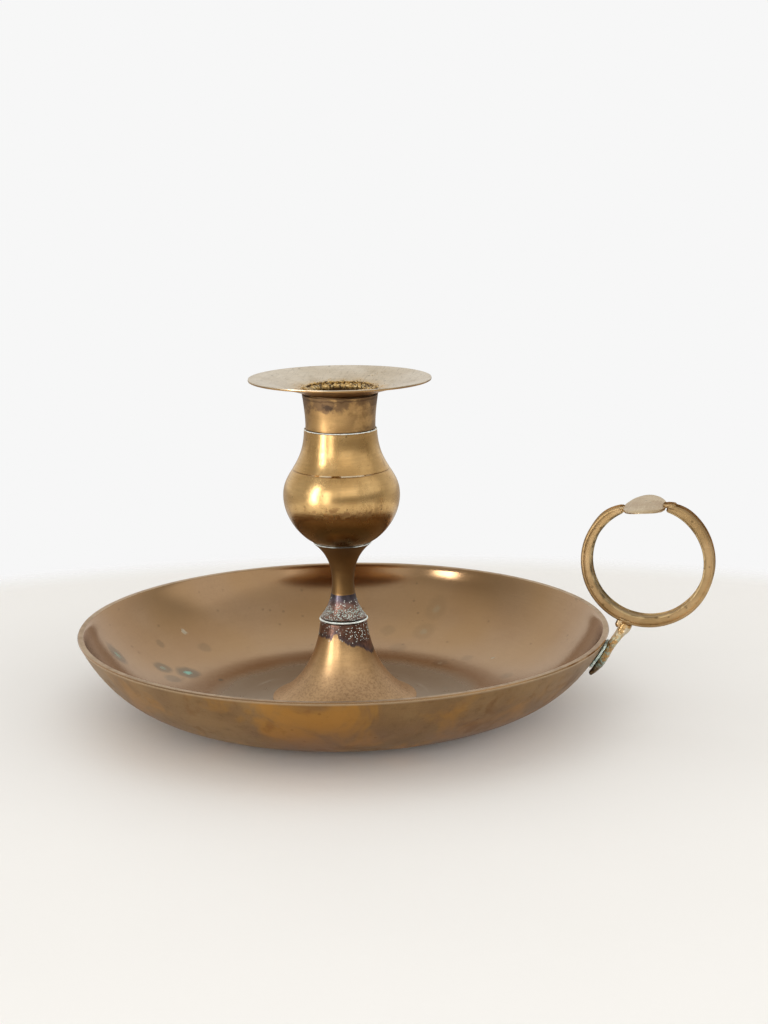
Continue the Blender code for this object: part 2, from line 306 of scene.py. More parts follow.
def fine_ring():
    """The finger ring as a filed band: rounded outer corners, slightly uneven width and thickness."""
    steps = 220
    sections = []
    for k in range(steps + 1):
        turn = RING_START + (RING_END - RING_START) * k / steps
        near = min(turn - RING_START, RING_END - turn) / RING_TAPER
        swell = math.sin(math.pi / 2 * min(1.0, near))
        end = 0.0004 * max(0.0, 1 - near * 22)
        outer = RING_SHOULDER_OUT + (RING_OUT - RING_SHOULDER_OUT) * swell - end
        worn = 0.00010 * (noise.noise(Vector((turn * 2.3, 4.0, 0))) - 0.6)
        slim = 0.00012 * (noise.noise(Vector((turn * 1.7, 9.0, 0))) - 0.6)
        mid = (RING_IN + end + outer) / 2
        loop = soft_box((outer - RING_IN - end) / 2 + worn, RING_HALF_W - end + slim,
                        0.0005, 0.0009 - 0.0003 * (1 - swell))
        sections.append([on_ring(mid + r, y, turn) for r, y in loop])
    return swept("handle_ring_fine", sections)


def fine_thumb_rest():
    """The oval thumb plate, its rim worn round and its surface faintly dented."""
    steps = 72
    clip = math.asin(REST_TIP_HALF_W / REST_HALF_W)
    sections = []
    for k in range(steps + 1):
        a = -math.pi / 2 + clip + (math.pi - 2 * clip) * k / steps
        turn = REST_MID + REST_HALF_ANGLE * math.sin(a)
        half = REST_HALF_W * math.cos(a)
        loop = []
        for side, level in ((1, REST_OUT), (-1, REST_IN)):
            for j in range(25):
                u = side * (1 - 2 * j / 24)
                edge = 0.00045 * max(0.0, abs(u) - 0.86) ** 2 / 0.14 ** 2
                dent = 0.00009 * (noise.noise(Vector((u * half * 260, turn * 9, 2.0))) - 0.7)
                loop.append(on_ring(level + side * (dent - edge), u * half, turn))
        sections.append(loop)
    return swept("thumb_rest_fine", sections)


def braze(name, turns, inner, outer, half_width, seed):
    """A lump of braze lying along the ring between two turns; each size is given at both ends."""
    steps = 12
    sections = []
    for k in range(steps + 1):
        t = k / steps
        turn = turns[0] + (turns[1] - turns[0]) * t
        low = inner[0] + (inner[1] - inner[0]) * t
        high = outer[0] + (outer[1] - outer[0]) * t
        half = half_width[0] + (half_width[1] - half_width[0]) * t
        lump = 0.00016 * noise.noise(Vector((k * 0.55, seed, 0)))
        taper = 1 - 0.35 * (2 * t - 1) ** 6
        loop = soft_box((high - low) / 2 * taper + lump, half * taper, 0.0004, 0.0006)
        sections.append([on_ring((low + high) / 2 + r, y, turn) for r, y in loop])
    return swept(name, sections)


def softened(node, uneven, seed, grown=0.0):
    """A CAD solid with its edges worn round and its faces a little lumpy."""
    bm = bmesh.new()
    bm.from_mesh(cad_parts[node].data)
    bmesh.ops.remove_doubles(bm, verts=bm.verts, dist=1e-6)
    bmesh.ops.join_triangles(bm, faces=bm.faces, angle_face_threshold=math.radians(25),
                             angle_shape_threshold=math.radians(180))
    ob = solid(node + "_fine", bm)
    smooth = ob.modifiers.new("worn", "SUBSURF")
    smooth.levels = smooth.render_levels = 3
    mesh = bpy.data.meshes.new_from_object(ob.evaluated_get(bpy.context.evaluated_depsgraph_get()))
    ob.modifiers.clear()
    ob.data = mesh
    for v in mesh.vertices:
        lump = noise.noise(v.co * 900 + Vector((seed, 0, 0))) - 0.5
        v.co += v.normal * (uneven * lump + grown)
    mesh.shade_smooth()
    return ob


def crust_ring(name, radius, z, size, lumps, seed, bare=0.0, sides=360, lean=0.0):
    """A thin uneven ring of residue; where it is bare it shrinks into the seam."""
    sections = []
    for k in range(sides):
        a = math.tau * k / sides
        way = Vector((math.cos(a), math.sin(a), 0))
        swell = 0.5 + 0.5 * noise.noise(way * lumps + Vector((0, 0, seed)))
        patch = 0.5 + 0.5 * noise.noise(way * 1.6 + Vector((0, 0, seed + 5)))
        thick = size * (0.45 + 0.9 * swell) * max(0.12, min(1.0, (patch - bare) * 6 + 0.5))
        centre = radius - size + thick * 0.35
        up = lean * noise.noise(way * lumps * 0.7 + Vector((0, 0, seed + 2)))
        sections.append([way * (centre + thick * math.cos(t)) + Vector((0, 0, z + up + thick * math.sin(t)))
                         for t in (math.tau * j / 8 for j in range(8))])
    bm = bmesh.new()
    loops = [[bm.verts.new(p) for p in section] for section in sections]
    for one, two in zip(loops, loops[1:] + loops[:1]):
        skin(bm, one, two)
    return solid(name, bm, 60)


def specks(name, spots):
    """Many small flattened crumbs as one mesh; spots yields (place, outward way, size)."""
    bm = bmesh.new()
    for place, way, size in spots:
        tilt = way.to_track_quat("Z", "Y").to_matrix().to_4x4()
        shape = Matrix.Translation(place) @ tilt @ Matrix.Diagonal((size, size * 0.8, size * 0.5, 1))
        bmesh.ops.create_icosphere(bm, subdivisions=1, radius=1.0, matrix=shape)
    return solid(name, bm, 80)


# ---------------------------------------------------------------- shader helper

def tone(red, green, blue):
    """Linear colour of a screen colour given as 0 to 255."""
    return tuple(((c / 255 + 0.055) / 1.055) ** 2.4 if c > 10 else c / 255 / 12.92
                 for c in (red, green, blue)) + (1.0,)


class Shader:
    """Adds nodes to one node tree and links them; an input may be a number, a colour or a socket."""

    def __init__(self, name):
        self.mat = bpy.data.materials.new(name)
        self.mat.use_nodes = True
        self.tree = self.mat.node_tree
        self.bsdf = self.tree.nodes["Principled BSDF"]
        self.measure(self.node("ShaderNodeTexCoord").outputs["Object"])

    def measure(self, place):
        """Height, distance from the axis and outward direction of each point."""
        self.place = place
        self.x, self.y, self.z = self.split(place)
        flat = self.join(self.x, self.y, 0.0)
        self.r = self.vector("LENGTH", flat)
        self.way = self.vector("NORMALIZE", flat)

    def node(self, kind, **settings):
        made = self.tree.nodes.new(kind)
        for key, value in settings.items():
            setattr(made, key, value)
        return made

    def feed(self, socket, value):
        if isinstance(value, bpy.types.NodeSocket):
            self.tree.links.new(value, socket)
        else:
            socket.default_value = value

    def split(self, vector):
        made = self.node("ShaderNodeSeparateXYZ")
        self.feed(made.inputs[0], vector)
        return made.outputs

    def join(self, x, y, z):
        made = self.node("ShaderNodeCombineXYZ")
        for socket, value in zip(made.inputs, (x, y, z)):
            self.feed(socket, value)
        return made.outputs[0]

    def vector(self, operation, a, b=None):
        made = self.node("ShaderNodeVectorMath", operation=operation)
        self.feed(made.inputs[0], a)
        if b is not None:
            self.feed(made.inputs[3 if operation == "SCALE" else 1], b)
        return made.outputs["Value" if operation in ("LENGTH", "DOT_PRODUCT", "DISTANCE") else "Vector"]

    def maths(self, operation, a, b=0.0):
        made = self.node("ShaderNodeMath", operation=operation)
        self.feed(made.inputs[0], a)
        self.feed(made.inputs[1], b)
        return made.outputs[0]

    def add(self, *values):
        total = values[0]
        for value in values[1:]:
            total = self.maths("ADD", total, value)
        return total

    def times(self, *values):
        total = values[0]
        for value in values[1:]:
            total = self.maths("MULTIPLY", total, value)
        return total

    def less(self, value):
        """One minus the value."""
        return self.maths("SUBTRACT", 1.0, value)

    def ease(self, value, low, high):
        """0 below low, 1 above high, smooth between; the other way round when high is below low."""
        if high < low:
            return self.less(self.ease(value, high, low))
        made = self.node("ShaderNodeMapRange", interpolation_type="SMOOTHSTEP")
        for key, given in (("Value", value), ("From Min", low), ("From Max", high)):
            self.feed(made.inputs[key], given)
        return made.outputs["Result"]

    def band(self, value, low, high, edge):
        """1 between low and high, fading over edge on both sides."""
        rise = self.ease(value, low - edge, low + edge)
        return self.times(rise, self.ease(value, high + edge, high - edge))

    def mix(self, amount, under, over):
        made = self.node("ShaderNodeMix", data_type="RGBA", blend_type="MIX")
        self.feed(made.inputs[0], amount)
        self.feed(made.inputs[6], under)
        self.feed(made.inputs[7], over)
        return made.outputs[2]

    def shade(self, colour, factor):
        """The colour times a grey factor."""
        fixed = not isinstance(colour, bpy.types.NodeSocket)
        return self.vector("SCALE", colour[:3] if fixed else colour, factor)

    def noise(self, scale, detail=3.0, rough=0.55, vector=None, twist=0.0):
        made = self.node("ShaderNodeTexNoise")
        self.feed(made.inputs["Vector"], self.place if vector is None else vector)
        for key, value in (("Scale", scale), ("Detail", detail), ("Roughness", rough), ("Distortion", twist)):
            made.inputs[key].default_value = value
        return made.outputs["Fac"]

    def colour_noise(self, scale):
        made = self.node("ShaderNodeTexNoise")
        self.feed(made.inputs["Vector"], self.place)
        made.inputs["Scale"].default_value = scale
        return made.outputs["Color"]

    def cells(self, scale, output="Distance"):
        made = self.node("ShaderNodeTexVoronoi")
        self.feed(made.inputs["Vector"], self.place)
        made.inputs["Scale"].default_value = scale
        return made.outputs[output]

    def spun(self, along, fine, turns=2.0, detail=2.0):
        """Noise drawn out round the axis: lines left by turning, spinning and polishing."""
        drawn = self.vector("SCALE", self.way, turns)
        x, y, _ = self.split(drawn)
        return self.noise(1.0, detail, 0.6, self.join(x, y, self.times(along, fine)))

    def scratches(self, turn, scale=900, thin=0.012):
        """Straight hairline scratches in one direction, as a 0 to 1 mask."""
        mapping = self.node("ShaderNodeMapping")
        self.feed(mapping.inputs["Vector"], self.place)
        mapping.inputs["Rotation"].default_value = turn
        mapping.inputs["Scale"].default_value = (1.0, 0.045, 0.3)
        lines = self.noise(scale, 1.5, 0.5, mapping.outputs[0])
        return self.ease(self.maths("ABSOLUTE", self.add(lines, -0.5)), thin, thin * 0.3)

    def pits(self, scale, size, share):
        """Small round pits: the cells whose own random value falls under share."""
        near = self.cells(scale)
        colour = self.cells(scale, output="Color")
        chosen = self.ease(self.split(colour)[0], share + 0.02, share)
        return self.times(self.ease(near, size, size * 0.45), chosen)

    def grit(self, depth, height):
        """Bump from a height socket; depth is in metres."""
        made = self.node("ShaderNodeBump")
        made.inputs["Strength"].default_value = 1.0
        made.inputs["Distance"].default_value = depth
        self.feed(made.inputs["Height"], height)
        return made.outputs[0]

    def finish(self, colour, roughness, metallic=1.0, bump=None):
        self.feed(self.bsdf.inputs["Base Color"], colour)
        self.feed(self.bsdf.inputs["Roughness"], roughness)
        self.feed(self.bsdf.inputs["Metallic"], metallic)
        if bump is not None:
            self.feed(self.bsdf.inputs["Normal"], bump)
        return self.mat


# ---------------------------------------------------------------- materials

VERDIGRIS = tone(126, 164, 154)
CHALK = tone(196, 206, 198)
SOOT = tone(46, 38, 32)


def brushed(s, along, light, dark, mottled=0.5, patchy=40.0, lined=1.0):
    """Colour, mottling and height that all the brass shares: tarnish, turning lines and fine grain."""
    cloud = s.ease(s.noise(patchy, 3.0, 0.5), 0.36, 0.66)
    mottle = s.noise(310, 5.0, 0.68)
    lines = s.spun(along, 1500, 2.2)
    grain = s.noise(2600, 3.0, 0.6)
    colour = s.mix(s.times(cloud, 0.85), light, dark)
    colour = s.mix(s.times(s.ease(mottle, 0.5, 0.78), mottled), colour, s.shade(dark, 0.62))
    streaks = s.times(s.add(grain, s.times(s.add(lines, -0.5), lined), -0.5), 0.34)
    colour = s.shade(colour, s.add(0.90, streaks, 0.06))
    height = s.add(s.times(lines, 0.55 * lined), s.times(grain, 0.45), s.times(mottle, 0.5))
    return colour, mottle, height


# Corrosion marks in the dish: (x, y, radius, how dark the ring, how bright the centre, how green)
MARKS = (
    (-0.0675, 0.0048, 0.0030, 0.58, 0.45, 0.5),
    (-0.0596, 0.0089, 0.0041, 0.66, 1.00, 1.0),
    (-0.0789, -0.0095, 0.0030, 0.55, 0.50, 0.8),
    (-0.0619, -0.0006, 0.0028, 0.40, 0.00, 0.0),
    (-0.0690, 0.0330, 0.0014, 0.00, 0.65, 0.1),
    (-0.0732, 0.0185, 0.0015, 0.30, 0.00, 0.0),
    (-0.0606, 0.0314, 0.0024, 0.24, 0.00, 0.0),
    (-0.0477, 0.0096, 0.0011, 0.65, 0.20, 1.0),
    (0.0164, 0.0762, 0.0038, 0.12, 0.10, 0.5),
    (0.0136, 0.0671, 0.0040, 0.14, 0.12, 0.4),
    (-0.0003, 0.0675, 0.0026, 0.16, 0.00, 0.0),
    (0.0059, 0.0568, 0.0032, 0.14, 0.00, 0.0),
    (0.0244, 0.0441, 0.0028, 0.22, 0.12, 0.2),
    (0.0316, 0.0172, 0.0015, 0.10, 0.30, 0.1),
    (0.0437, 0.0451, 0.0011, 0.00, 0.50, 0.1),
    (0.0513, 0.0278, 0.0022, 0.18, 0.16, 0.1),
    (0.0337, 0.0476, 0.0022, 0.16, 0.00, 0.0),
    (0.0741, 0.0489, 0.0012, 0.35, 0.00, 0.0),
    (0.0610, -0.0330, 0.0024, 0.40, 0.40, 0.8),
    (-0.0300, -0.0610, 0.0018, 0.35, 0.20, 0.5),
    (0.0180, -0.0700, 0.0015, 0.35, 0.45, 0.9),
)


def marks(s, colour):
    """Paint the corrosion marks; returns the colour and how crusted each point is."""
    warp = s.vector("SCALE", s.vector("ADD", s.colour_noise(420), (-0.5, -0.5, -0.5)), 0.0016)
    flat = s.vector("ADD", s.join(s.x, s.y, 0.0), warp)
    crust = 0.0
    for x, y, radius, dark, bright, green in MARKS:
        away = s.vector("DISTANCE", flat, (x, y, 0.0))
        if dark:
            halo = s.times(s.ease(away, radius * 1.35, radius * 0.7), dark)
            colour = s.mix(halo, colour, tone(98, 88, 72))
        if bright:
            size = 0.5 if dark else 1.0
            heart = s.times(s.ease(away, radius * size, radius * size * 0.3), bright)
            pale = tuple(a + (b - a) * green for a, b in zip(tone(178, 170, 150), tone(138, 184, 168)))
            colour = s.mix(heart, colour, pale)
            crust = s.add(heart, crust)
    return colour, crust


def dish_inside():
    s = Shader("dish_inside")
    along = s.add(s.r, s.z)
    colour, mottle, height = brushed(s, along, tone(174, 143, 111), tone(166, 132, 98), 0.12, 28.0, 0.3)
    warm = s.ease(s.noise(19, 2.0), 0.42, 0.64)
    colour = s.mix(s.times(warm, 0.45), colour, tone(170, 134, 90))
    edge = s.add(s.r, s.times(s.add(s.noise(70, 2.0), -0.5), 0.004))
    floor = s.ease(edge, 0.0500, 0.0415)
    grey = s.shade(tone(140, 127, 108), s.add(0.85, s.times(mottle, 0.3)))
    colour = s.mix(s.times(floor, 0.70), colour, grey)
    rubbed = s.ease(s.spun(s.r, 420, 0.8, 3.0), 0.54, 0.70)
    rubbed = s.times(rubbed, s.band(s.r, 0.0285, 0.0405, 0.004), s.ease(s.noise(46, 1.0), 0.42, 0.62))
    colour = s.mix(s.times(rubbed, 0.5), colour, tone(196, 186, 168))
    dull = s.pits(420, 0.30, 0.035)
    colour = s.mix(s.times(dull, 0.22), colour, SOOT)
    colour, crust = marks(s, colour)
    crust = s.maths("MINIMUM", crust, 1.0)
    roughness = s.add(0.115, s.times(mottle, 0.06), s.times(floor, 0.14),
                      s.times(crust, 0.4), s.times(rubbed, 0.1))
    metallic = s.less(s.times(crust, 0.85))
    height = s.add(height, s.times(crust, 1.6), s.times(dull, -0.8))
    return s.finish(colour, roughness, metallic, s.grit(0.000007, height))


def dish_outside():
    s = Shader("dish_outside")
    along = s.add(s.r, s.z)
    colour, mottle, height = brushed(s, along, tone(158, 128, 88), tone(130, 101, 69), 0.40, 30.0, 0.5)
    # Orange patina patches, laid on more strongly on the side facing the camera: partly real patina, partly
    # painted light that brightens that side.
    ahead = s.ease(s.vector("DOT_PRODUCT", s.way, tuple(TO_CAMERA)), 0.35, 0.85)
    orange = s.ease(s.noise(44, 4.0, 0.6, twist=0.5), 0.46, 0.66)
    colour = s.mix(s.times(orange, s.add(0.18, s.times(ahead, 0.50))), colour, tone(188, 136, 62))
    rust = s.ease(s.noise(80, 4.0, 0.6, twist=0.4), 0.55, 0.72)
    colour = s.mix(s.times(rust, 0.40), colour, tone(122, 84, 52))
    mauve = s.times(s.ease(s.noise(26, 3.0), 0.42, 0.62), s.ease(s.z, 0.022, 0.004))
    colour = s.mix(s.times(mauve, 0.75), colour, tone(142, 115, 97))
    dark = s.pits(420, 0.30, 0.05)
    colour = s.mix(s.times(dark, 0.3), colour, tone(96, 66, 40))
    colour = s.mix(s.ease(s.z, 0.0266, 0.0276), colour, tone(188, 164, 132))
    roughness = s.add(0.36, s.times(mottle, 0.20), s.times(rust, 0.12))
    height = s.add(height, s.times(dark, -1.0))
    return s.finish(colour, roughness, 1.0, s.grit(0.000015, height))


def dish_lip():
    s = Shader("dish_lip")
    mottle = s.noise(300, 4.0, 0.6)
    patch = s.ease(s.noise(60, 2.0), 0.4, 0.6)
    colour = s.mix(s.ease(mottle, 0.4, 0.7), tone(176, 148, 116), tone(154, 126, 94))
    colour = s.mix(s.times(patch, 0.35), colour, tone(190, 166, 132))
    return s.finish(colour, s.add(0.34, s.times(mottle, 0.2)), 1.0, s.grit(0.000012, s.noise(1500, 3.0)))


def heat_stain(s, colour):
    """The colour with blue-black and purple-brown staining laid on where the stem was soldered."""
    left = s.vector("DOT_PRODUCT", s.way, tuple(TO_LEFT))
    steps = s.add(s.times(s.ease(left, -0.95, -0.55), 0.0034), s.times(s.ease(left, -0.32, 0.02), 0.0022),
                  s.times(s.band(left, 0.20, 0.42, 0.05), 0.0019))
    ragged = s.times(s.add(s.noise(1.0, 3.0, 0.6, s.vector("SCALE", s.way, 8.0)), -0.5), 0.0030)
    bottom = s.add(STAIN_BOTTOM_Z, steps, ragged)
    rise = s.add(s.z, s.times(bottom, -1.0))
    low = s.ease(rise, -0.00040, 0.00040)
    top = s.add(STAIN_TOP_Z, s.times(s.add(s.noise(300, 2.0), -0.5), 0.0005))
    high = s.ease(s.add(top, s.times(s.z, -1.0)), -0.00012, 0.00012)
    inside = s.times(low, high)
    crown = s.ease(s.z, STAIN_TOP_Z - 0.0044, STAIN_TOP_Z - 0.0012)
    fringe = s.maths("MAXIMUM", s.times(s.ease(rise, 0.0024, 0.0004), 0.75), crown)
    blotch = s.ease(s.noise(520, 4.0, 0.6), 0.38, 0.64)
    plum = s.mix(blotch, tone(140, 106, 94), tone(104, 80, 76))
    blue = s.mix(blotch, tone(84, 80, 92), tone(58, 56, 66))
    stained = s.mix(fringe, plum, blue)
    return s.mix(s.times(inside, 0.94), colour, stained)


def column(name, light, dark):
    """Foot and stem: grainy cast brass, heat-stained and crusted either side of the solder."""
    s = Shader(name)
    colour, mottle, height = brushed(s, s.z, light, dark, 0.40, 60.0)
    low = s.ease(s.z, 0.0200, 0.0085)
    pitted = s.noise(1300, 4.0, 0.7)
    sandy = s.mix(s.ease(pitted, 0.42, 0.64), tone(204, 170, 132), tone(166, 134, 104))
    colour = s.mix(s.times(low, 0.66), colour, sandy)
    waist = s.ease(s.z, STAIN_TOP_Z - 0.0004, STAIN_TOP_Z + 0.0006)
    colour = s.mix(s.times(waist, 0.90), colour, s.shade(tone(128, 98, 60), s.add(0.7, s.times(mottle, 0.6))))
    colour = heat_stain(s, colour)
    grains = s.cells(2300)
    chance = s.split(s.cells(2300, output="Color"))[1]
    over = s.add(s.band(s.z, 0.0309, 0.0345, 0.0011), s.times(s.band(s.z, 0.0335, 0.0374, 0.0008), 0.32))
    right = s.less(s.ease(s.vector("DOT_PRODUCT", s.way, tuple(TO_LEFT)), -0.5, 0.35))
    under = s.times(s.band(s.z, 0.0235, 0.0294, 0.0012), s.add(0.12, s.times(right, 0.34)))
    density = s.times(s.add(over, under), s.add(0.42, s.times(s.noise(420, 2.0), 0.55)))
    speck = s.times(s.ease(s.add(density, s.times(chance, -1.0)), 0.0, 0.06), s.ease(grains, 0.52, 0.36))
    pale = s.mix(s.ease(chance, 0.1, 0.5), tone(214, 222, 214), tone(150, 178, 168))
    colour = s.mix(speck, colour, pale)
    roughness = s.add(0.27, s.times(mottle, 0.12), s.times(low, 0.12),
                      s.times(waist, 0.16), s.times(speck, 0.45))
    deep = s.times(s.add(pitted, -0.5), low, 1.1)
    height = s.add(height, s.times(speck, 2.4), deep)
    return s.finish(colour, roughness, s.less(s.times(speck, 0.95)), s.grit(0.00002, height))


def cup_brass():
    s = Shader("cup_brass_fine")
    colour, mottle, height = brushed(s, s.z, tone(222, 184, 126), tone(192, 152, 96), 0.42, 60.0)
    front = s.ease(s.vector("DOT_PRODUCT", s.way, tuple(TO_CAMERA)), 0.70, 0.95)
    upright = s.join(s.times(s.x, 190), s.times(s.y, 190), s.times(s.z, 34))
    streak = s.ease(s.noise(1.0, 4.0, 0.62, upright), 0.54, 0.72)
    colour = s.mix(s.times(streak, 0.40), colour, tone(138, 104, 62))
    # Lower bulb painted dark brown: a painted reflection of the dish below.
    low = s.ease(s.z, 0.0712, 0.0640)
    colour = s.mix(s.times(low, 0.85), colour, tone(118, 92, 54))
    # Rough dark belt just under the bulb's widest part, laid on mostly on the side facing the camera: partly
    # real corrosion, partly painted shade on that side.
    rough_belt_and_front_shade = s.times(s.band(s.z, 0.0690, 0.0722, 0.0012),
                         s.ease(s.noise(480, 5.0, 0.7), 0.50, 0.60), s.add(0.15, front))
    colour = s.mix(s.times(rough_belt_and_front_shade, 0.5), colour, tone(132, 92, 62))
    pits = s.pits(620, 0.30, 0.04)
    colour = s.mix(s.times(pits, 0.45), colour, tone(84, 62, 40))
    scribed = s.band(s.z, SCRIBED_Z - 0.0002, SCRIBED_Z + 0.0002, 0.0001)
    filled = s.times(scribed, front, s.ease(s.noise(300, 2.0), 0.40, 0.52))
    colour = s.mix(s.times(scribed, 0.30), colour, tone(104, 80, 50))
    colour = s.mix(s.times(filled, 0.62), colour, tone(226, 220, 200))
    hair = s.scratches((0.4, 0.9, 0.3))
    roughness = s.add(0.185, s.times(mottle, 0.14), s.times(streak, 0.07),
                      s.times(rough_belt_and_front_shade, 0.2), s.times(filled, 0.3))
    height = s.add(height, s.times(pits, -1.2), s.times(rough_belt_and_front_shade, -0.7), s.times(hair, -0.25))
    return s.finish(colour, roughness, s.less(s.times(filled, 0.6)), s.grit(0.000012, height))


def collar_brass():
    s = Shader("collar_brass")
    colour, mottle, height = brushed(s, s.z, tone(194, 156, 104), tone(158, 121, 75), 0.45, 75.0)
    left = s.vector("DOT_PRODUCT", s.way, tuple(TO_LEFT))
    front = s.ease(s.vector("DOT_PRODUCT", s.way, tuple(TO_CAMERA)), -0.2, 0.3)
    top = s.ease(s.z, 0.0990, 0.1065)
    blot = s.noise(170, 5.0, 0.62, twist=0.5)
    stain = s.ease(s.add(blot, s.times(top, 0.26)), 0.60, 0.74)
    colour = s.mix(s.times(stain, 0.70), colour, tone(104, 82, 66))
    # Darker brown in patches on the side to the camera's right: partly stain, partly painted shade on that
    # side.
    side = s.times(s.ease(left, 0.05, -0.6), s.ease(s.noise(230, 4.0), 0.40, 0.60))
    colour = s.mix(s.times(side, 0.55), colour, tone(116, 88, 60))
    uneven = s.times(s.add(s.noise(380, 4.0, 0.65), -0.5), 0.0016)
    under_pan = s.band(s.add(s.z, uneven), PAN_SEAT_Z - 0.0011, PAN_SEAT_Z - 0.0007, 0.0003)
    colour = s.mix(s.times(under_pan, 0.75), colour, tone(84, 64, 48))
    blot_shape = s.join(s.times(s.add(left, -0.32), 0.012), s.times(s.add(s.z, -0.1041), 1.5), 0.0)
    blot_away = s.add(s.vector("LENGTH", blot_shape), s.times(s.add(s.noise(420, 5.0, 0.7), -0.5), 0.0060))
    dark_blot = s.times(s.ease(blot_away, 0.0026, 0.0008), front)
    colour = s.mix(s.times(dark_blot, 0.80), colour, tone(70, 58, 52))
    soot = s.ease(s.add(s.z, s.times(s.noise(700, 3.0), 0.0012)), PAN_SEAT_Z + 0.0010, PAN_SEAT_Z + 0.0024)
    crumbly = s.noise(1150, 5.0, 0.72)
    burnt = s.mix(s.ease(crumbly, 0.46, 0.58), tone(74, 54, 30), tone(206, 166, 96))
    colour = s.mix(s.times(soot, 0.85), colour, burnt)
    roughness = s.add(0.30, s.times(mottle, 0.14), s.times(stain, 0.12), s.times(soot, 0.15))
    height = s.add(height, s.times(stain, -0.5), s.times(crumbly, s.times(soot, 7.0)))
    return s.finish(colour, roughness, 1.0, s.grit(0.000018, height))


def pan_top():
    s = Shader("pan_top")
    colour, mottle, height = brushed(s, s.r, tone(220, 206, 184), tone(204, 186, 158), 0.24, 70.0)
    gold = s.ease(s.add(s.r, s.times(s.noise(240, 4.0), 0.007)), 0.0215, 0.0155)
    colour = s.mix(s.times(gold, 0.65), colour, tone(206, 166, 98))
    film = s.ease(s.noise(150, 4.0, 0.6), 0.55, 0.70)
    colour = s.mix(s.times(film, 0.30), colour, tone(168, 150, 120))
    hair = s.maths("MAXIMUM", s.scratches((0, 0, 0.35)), s.scratches((0, 0, -0.75), 760))
    colour = s.mix(s.times(hair, 0.30), colour, tone(126, 106, 76))
    crumbs = s.pits(560, 0.34, 0.07)
    colour = s.mix(s.times(crumbs, 0.55), colour, tone(96, 74, 44))
    soot = s.ease(s.add(s.r, s.times(s.noise(620, 4.0, 0.7), 0.0042)), 0.0160, 0.0144)
    burnt = s.mix(s.ease(s.noise(1150, 5.0, 0.72), 0.44, 0.58), tone(92, 68, 36), tone(210, 172, 104))
    colour = s.mix(s.times(soot, 0.80), colour, burnt)
    roughness = s.add(0.26, s.times(mottle, 0.14), s.times(film, 0.08))
    height = s.add(height, s.times(hair, -0.5), s.times(crumbs, 1.0),
                   s.times(s.noise(900, 4.0, 0.7), s.times(soot, 5.0)))
    return s.finish(colour, roughness, 1.0, s.grit(0.000016, height))


def pan_under():
    s = Shader("pan_under")
    colour, mottle, height = brushed(s, s.r, tone(194, 156, 106), tone(160, 124, 82), 0.45, 80.0)
    dark = s.ease(s.noise(130, 4.0, 0.6), 0.52, 0.70)
    colour = s.mix(s.times(dark, 0.5), colour, tone(112, 84, 56))
    return s.finish(colour, s.add(0.24, s.times(mottle, 0.16)), 1.0, s.grit(0.000016, height))


def ring_brass():
    s = Shader("ring_brass_fine")
    colour, mottle, height = brushed(s, s.y, tone(198, 168, 124), tone(172, 142, 98), 0.42, 85.0)
    spread = s.vector("DISTANCE", s.join(s.x, 0.0, s.z), (RING_CENTRE[0], 0.0, RING_CENTRE[1]))
    inner = s.ease(spread, RING_IN + 0.0011, RING_IN + 0.0002)
    left = s.ease(s.x, RING_CENTRE[0] + 0.004, RING_CENTRE[0] - 0.016)
    dirt = s.times(inner, s.add(0.40, s.times(left, 0.60)), s.ease(s.noise(420, 4.0, 0.65), 0.28, 0.52))
    colour = s.mix(dirt, colour, tone(92, 80, 54))
    # Darker brown band along the outer edge of the ring, patchy: painted shade on its rounded outer corner.
    rim = s.ease(spread, RING_OUT - 0.0009, RING_OUT - 0.0003)
    colour = s.mix(s.times(rim, s.ease(s.noise(120, 3.0), 0.40, 0.62), 0.4), colour, tone(136, 108, 74))
    # Pale gold along the inner corners: partly wear, partly a painted highlight on the rounded inner edge.
    edge = s.band(spread, RING_IN - 0.0002, RING_IN + 0.0007, 0.0003)
    worn = s.times(edge, s.ease(s.maths("ABSOLUTE", s.y), 0.0019, 0.0026), s.ease(s.noise(260, 2.0), 0.4, 0.6))
    colour = s.mix(s.times(worn, 0.45), colour, tone(236, 210, 160))
    pits = s.maths("MAXIMUM", s.pits(700, 0.36, 0.12), s.pits(330, 0.26, 0.10))
    colour = s.mix(s.times(pits, 0.55), colour, tone(96, 74, 46))
    hair = s.scratches((0.2, 0.5, 0.8))
    roughness = s.add(0.46, s.times(mottle, 0.14), s.times(dirt, 0.2))
    height = s.add(height, s.times(pits, -1.8), s.times(hair, -0.4), s.times(s.noise(190, 2.0), 1.0))
    return s.finish(colour, roughness, s.less(s.times(dirt, 0.3)), s.grit(0.000024, height))


def rest_brass():
    s = Shader("rest_brass_fine")
    colour, mottle, height = brushed(s, s.y, tone(206, 184, 148), tone(184, 156, 116), 0.35, 75.0)
    rim = s.ease(s.noise(200, 3.0), 0.45, 0.65)
    colour = s.mix(s.times(rim, 0.3), colour, tone(160, 124, 80))
    hair = s.maths("MAXIMUM", s.scratches((0, 0, 0.5)), s.scratches((0, 0, -0.4), 700))
    colour = s.mix(s.times(hair, 0.35), colour, tone(232, 214, 180))
    pits = s.pits(600, 0.34, 0.12)
    colour = s.mix(s.times(pits, 0.55), colour, tone(92, 72, 48))
    height = s.add(height, s.times(pits, -1.4), s.times(hair, -0.6))
    return s.finish(colour, s.add(0.31, s.times(mottle, 0.15)), 1.0, s.grit(0.000018, height))


